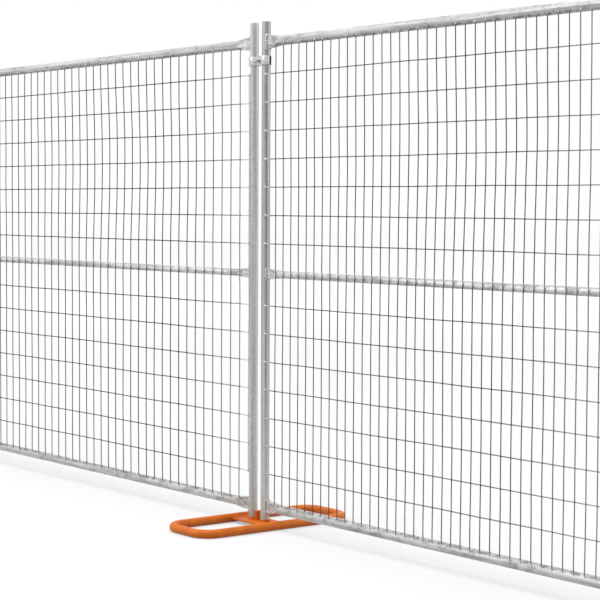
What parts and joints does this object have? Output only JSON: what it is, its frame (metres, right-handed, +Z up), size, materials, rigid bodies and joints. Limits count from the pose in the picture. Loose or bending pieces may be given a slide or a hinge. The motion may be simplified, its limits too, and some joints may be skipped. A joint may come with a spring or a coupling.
{
  "type": "temporary fence panel",
  "caption": "Coupled pair of galvanised mesh fence panels standing on orange tube loop feet, joined at the posts by a pressed clamp.",
  "frame": {"origin": "on the ground, midway between the two inner posts, under the middle of the whole run", "axes": "+X along the fence to the right panel, +Y across the fence to its rear, +Z up"},
  "size_m": [6.439, 0.6878, 1.829],
  "materials": {
    "galvanised": "hot-dip zinc",
    "bright_zinc": "zinc plate",
    "orange_paint": "semi-gloss",
    "rubber": "matt"
  },
  "bodies": {
    "centre_foot": {"centre_foot_loop": "orange_paint", "centre_foot_plate": "orange_paint", "centre_foot_spigots": "orange_paint", "centre_foot_collars": "orange_paint", "centre_foot_tab": "orange_paint", "clamp_rear_shell": "bright_zinc", "clamp_liners": "rubber", "clamp_bolt": "bright_zinc"},
    "left_panel": {"left_inner_post": "galvanised", "left_outer_post": "galvanised", "left_top_rail": "galvanised", "left_mid_rail": "galvanised", "left_bottom_rail": "galvanised", "left_line_wires": "galvanised", "left_upper_cross_wires": "galvanised", "left_lower_cross_wires": "galvanised"},
    "right_panel": {"right_inner_post": "galvanised", "right_outer_post": "galvanised", "right_top_rail": "galvanised", "right_mid_rail": "galvanised", "right_bottom_rail": "galvanised", "right_line_wires": "galvanised", "right_upper_cross_wires": "galvanised", "right_lower_cross_wires": "galvanised"},
    "left_foot": {"left_foot_loop": "orange_paint", "left_foot_plate": "orange_paint", "left_foot_spigots": "orange_paint", "left_foot_collars": "orange_paint", "left_foot_tab": "orange_paint"},
    "right_foot": {"right_foot_loop": "orange_paint", "right_foot_plate": "orange_paint", "right_foot_spigots": "orange_paint", "right_foot_collars": "orange_paint", "right_foot_tab": "orange_paint"},
    "clamp_front": {"clamp_front_shell": "bright_zinc", "clamp_washer": "bright_zinc"},
    "clamp_nut_body": {"clamp_nut": "bright_zinc"}
  },
  "joints": [
    {"name": "left_swing", "type": "hinge", "parent": "centre_foot", "child": "left_panel", "pos_m": [-0.03545, 0, 0.02815], "axis": [0, 0, 1], "range_deg": [-75, 75]},
    {"name": "right_swing", "type": "hinge", "parent": "centre_foot", "child": "right_panel", "pos_m": [0.03545, 0, 0.02815], "axis": [0, 0, 1], "range_deg": [-75, 75]},
    {"name": "left_foot_turn", "type": "hinge", "parent": "left_panel", "child": "left_foot", "pos_m": [-3.0517, 0, 0.02815], "axis": [0, 0, 1], "range_deg": [-90, 90]},
    {"name": "right_foot_turn", "type": "hinge", "parent": "right_panel", "child": "right_foot", "pos_m": [3.0517, 0, 0.02815], "axis": [0, 0, 1], "range_deg": [-90, 90]},
    {"name": "clamp_open", "type": "slide", "parent": "centre_foot", "child": "clamp_front", "axis": [0, -1, 0], "range_m": [0, 0.008]},
    {"name": "nut_turn", "type": "hinge", "parent": "clamp_front", "child": "clamp_nut_body", "pos_m": [0, -0.012, 1.6908], "axis": [0, -1, 0], "range_deg": [0, 2304]}
  ],
  "couplings": [
    {"joint": "nut_turn", "follows": "clamp_open", "rad_per_m": 5026.5}
  ]
}
